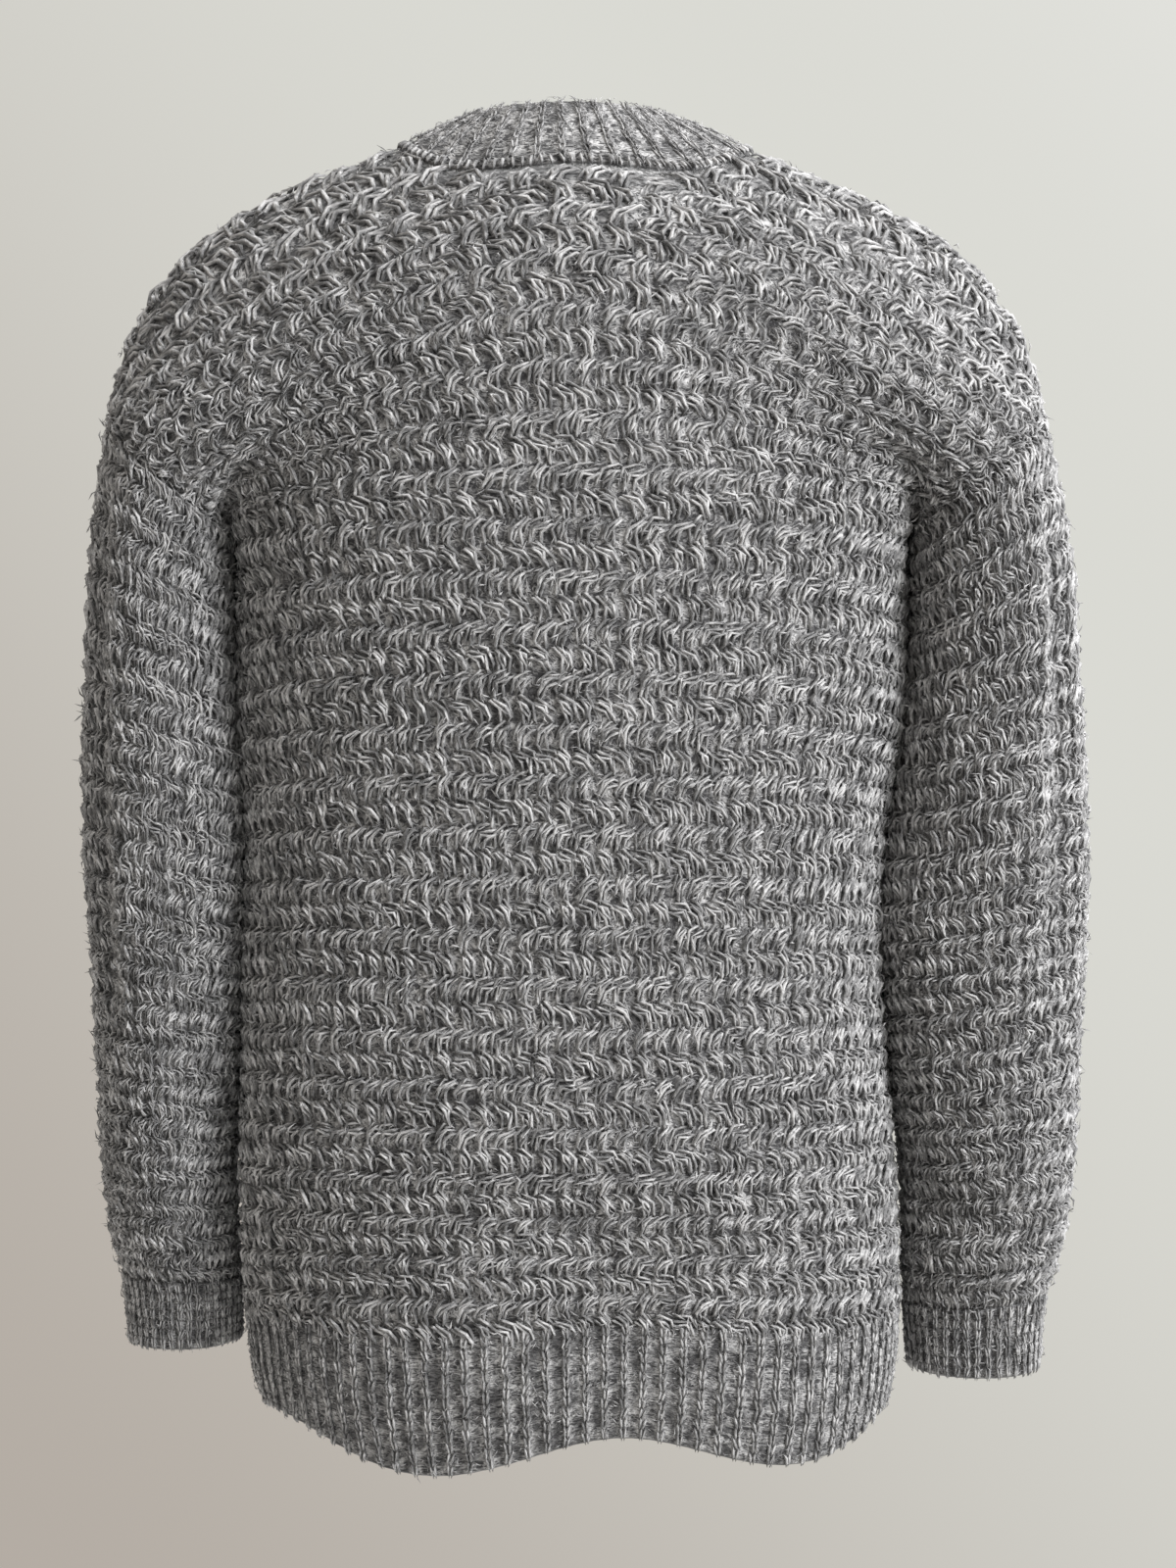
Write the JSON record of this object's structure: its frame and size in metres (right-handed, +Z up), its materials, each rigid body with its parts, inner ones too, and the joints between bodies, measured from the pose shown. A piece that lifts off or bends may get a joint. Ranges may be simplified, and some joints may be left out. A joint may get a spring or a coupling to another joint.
{
  "type": "crewneck sweater",
  "caption": "Worn crewneck sweater in chunky brushed grey knit, with dropped shoulders, long sleeves and ribbed neckband, hem and cuffs.",
  "frame": {"origin": "middle of the neck opening, level with the inner ends of the shoulder seams, where the wearer's shoulders and neck carry the sweater", "axes": "+Z up, the wearer faces -Y, and +X is the wearer's left"},
  "size_m": [0.5247, 0.2518, 0.6867],
  "materials": {
    "cloth": "brushed heather-grey wool knit, rows of leaning raised stitches under a soft haze of fibres",
    "rib": "the same heather-grey yarn knitted as one-by-one rib, lightly brushed"
  },
  "bodies": {
    "root": {"back_panel": "cloth", "front_panel": "cloth", "sleeve_left": "cloth", "sleeve_right": "cloth", "neckband": "rib", "hem_rib_back": "rib", "hem_rib_front": "rib", "cuff_left": "rib", "cuff_right": "rib"}
  },
  "joints": []
}
